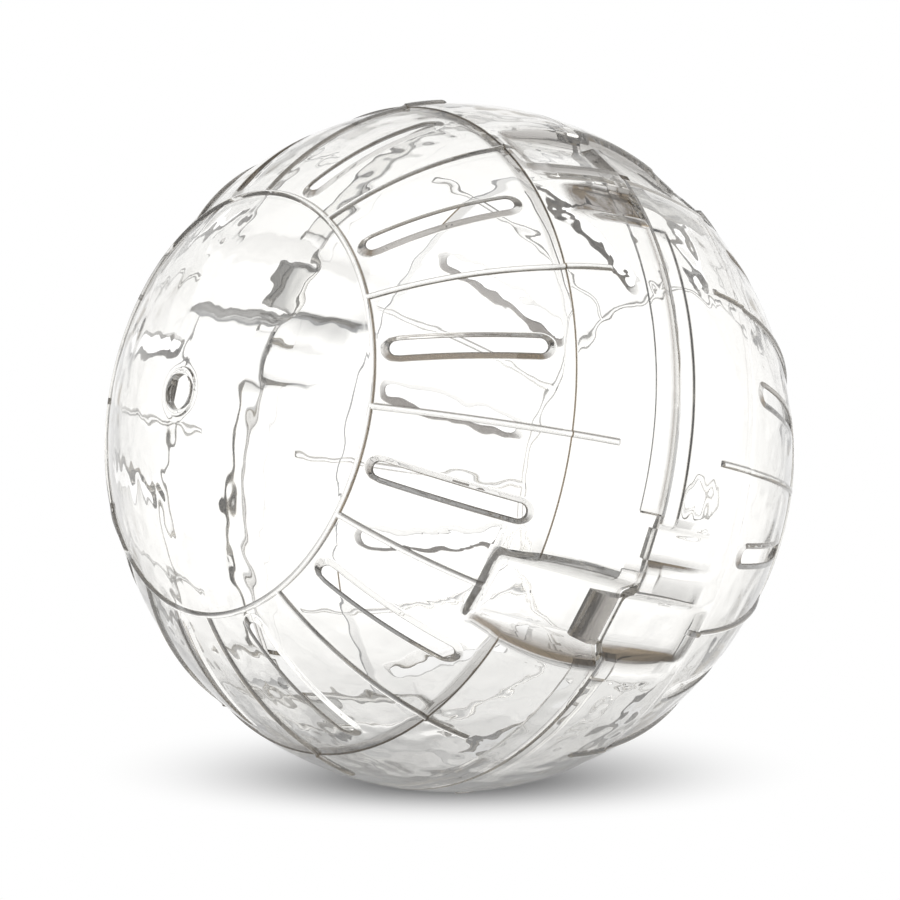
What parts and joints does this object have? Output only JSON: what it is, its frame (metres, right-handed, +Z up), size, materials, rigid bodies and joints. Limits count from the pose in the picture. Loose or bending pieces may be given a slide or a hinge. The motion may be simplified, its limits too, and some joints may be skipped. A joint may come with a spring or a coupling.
{
  "type": "hamster ball",
  "caption": "Clear round exercise ball for a small pet, moulded as snap-together half shells with ribs, air slots, thumb pockets and an axle hole at each pole.",
  "frame": {"origin": "centre of the ball, on its axis and in the middle of the seam", "axes": "X is the ball's axis, with the left half at -X and the right half at +X. The seam lies in x = 0. +Z is up, and a rib of each half lies at -Y, +Y, -Z and +Z"},
  "size_m": [0.178, 0.178, 0.178],
  "materials": {
    "clear_plastic": "colourless transparent polystyrene, polished mould"
  },
  "bodies": {
    "left_half": {"left_half_shell": "clear_plastic"},
    "right_half": {"right_half_shell": "clear_plastic"}
  },
  "joints": [
    {"name": "pull_apart", "type": "slide", "parent": "left_half", "child": "right_half", "axis": [1, 0, 0], "range_m": [0, 0.03]}
  ]
}
